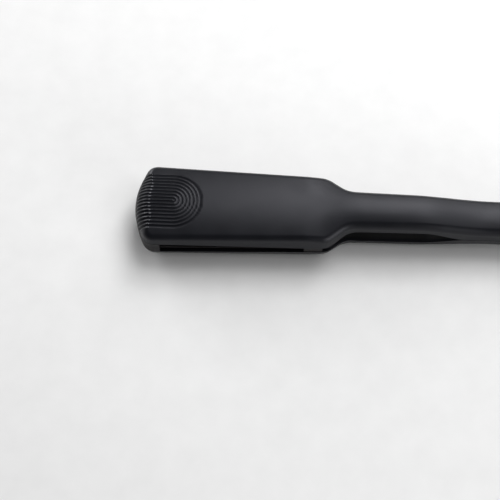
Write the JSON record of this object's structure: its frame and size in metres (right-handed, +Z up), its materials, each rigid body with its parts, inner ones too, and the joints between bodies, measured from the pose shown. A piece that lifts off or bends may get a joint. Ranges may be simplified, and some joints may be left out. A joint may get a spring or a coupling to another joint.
{
  "type": "flat iron",
  "caption": "Wide-plate hair straightener with two hinged arms, floating heating plates, ridged nose, inner power button and swivelling cord inlet.",
  "frame": {"origin": "centre of the bounding box at the bottom, on the surface that the lower arm lies on", "axes": "+X from the nose towards the cord end, +Y to the left seen from the cord end, +Z up through both closed arms"},
  "size_m": [0.2847, 0.054, 0.0338],
  "materials": {
    "soft_touch_shell": "soft-touch matte charcoal moulding",
    "heat_proof_black": "fine-grained heat-proof moulding",
    "liner_black": "satin black moulding",
    "coated_plate": "dark ceramic-coated aluminium",
    "heater_ceramic": "white alumina",
    "spring_steel": "rolled spring steel",
    "sensor_glass": "amber glass bead",
    "plated_metal": "nickel-plated steel",
    "silicone": "heat-proof silicone rubber",
    "mica": "pressed mica sheet",
    "wire_sleeve": "glass-braid wire sleeve",
    "circuit_board": "green solder resist",
    "component_black": "moulded epoxy",
    "button_gloss": "polished black plastic",
    "light_guide": "milky light guide",
    "nylon": "natural nylon"
  },
  "bodies": {
    "lower_arm": {"lower_arm_shell": "soft_touch_shell", "lower_plate_carrier": "heat_proof_black", "lower_heat_shield": "mica", "lower_heater_leads": "wire_sleeve", "lower_carrier_screws": "plated_metal", "lower_plate_cushions": "silicone", "lower_handle_liner": "liner_black", "control_board": "circuit_board", "board_components": "component_black", "board_screws": "plated_metal", "button_switch": "component_black", "light_ring": "light_guide", "tail_housing": "soft_touch_shell", "hinge_pin": "spring_steel", "left_hinge_cap": "button_gloss", "right_hinge_cap": "button_gloss", "hinge_washers": "nylon", "hinge_spring": "spring_steel", "swivel_retainer": "nylon"},
    "upper_arm": {"upper_arm_shell": "soft_touch_shell", "upper_plate_carrier": "heat_proof_black", "upper_heat_shield": "mica", "upper_heater_leads": "wire_sleeve", "upper_carrier_screws": "plated_metal", "upper_plate_cushions": "silicone", "upper_handle_liner": "liner_black", "hinge_tongue": "soft_touch_shell"},
    "upper_plate": {"upper_heating_plate": "coated_plate", "upper_heater": "heater_ceramic", "upper_heater_clamp": "spring_steel", "upper_plate_sensor": "sensor_glass", "upper_thermal_fuse": "plated_metal"},
    "lower_plate": {"lower_heating_plate": "coated_plate", "lower_heater": "heater_ceramic", "lower_heater_clamp": "spring_steel", "lower_plate_sensor": "sensor_glass", "lower_thermal_fuse": "plated_metal"},
    "button": {"power_button": "button_gloss"},
    "cord_swivel": {"swivel_gland": "liner_black"}
  },
  "joints": [
    {"name": "arm_hinge", "type": "hinge", "parent": "lower_arm", "child": "upper_arm", "pos_m": [0.1175, 0, 0.0167], "axis": [0, 1, 0], "range_deg": [0, 24], "stiffness_Nm_per_rad": 0.1, "springref_deg": 24.06},
    {"name": "upper_plate_float", "type": "slide", "parent": "upper_arm", "child": "upper_plate", "axis": [0, 0, 1], "range_m": [0, 0.001], "stiffness_N_per_m": 2500, "springref_m": -0.001, "deforming": ["upper_plate_cushions"]},
    {"name": "lower_plate_float", "type": "slide", "parent": "lower_arm", "child": "lower_plate", "axis": [0, 0, -1], "range_m": [0, 0.001], "stiffness_N_per_m": 2500, "springref_m": -0.001, "deforming": ["lower_plate_cushions"]},
    {"name": "power_button_press", "type": "slide", "parent": "lower_arm", "child": "button", "axis": [0, 0, -1], "range_m": [0, 0.0004], "stiffness_N_per_m": 1500, "springref_m": -0.0006},
    {"name": "cord_swivel_turn", "type": "hinge", "parent": "lower_arm", "child": "cord_swivel", "pos_m": [0.135, 0, 0.0167], "axis": [1, 0, 0], "continuous": true}
  ]
}
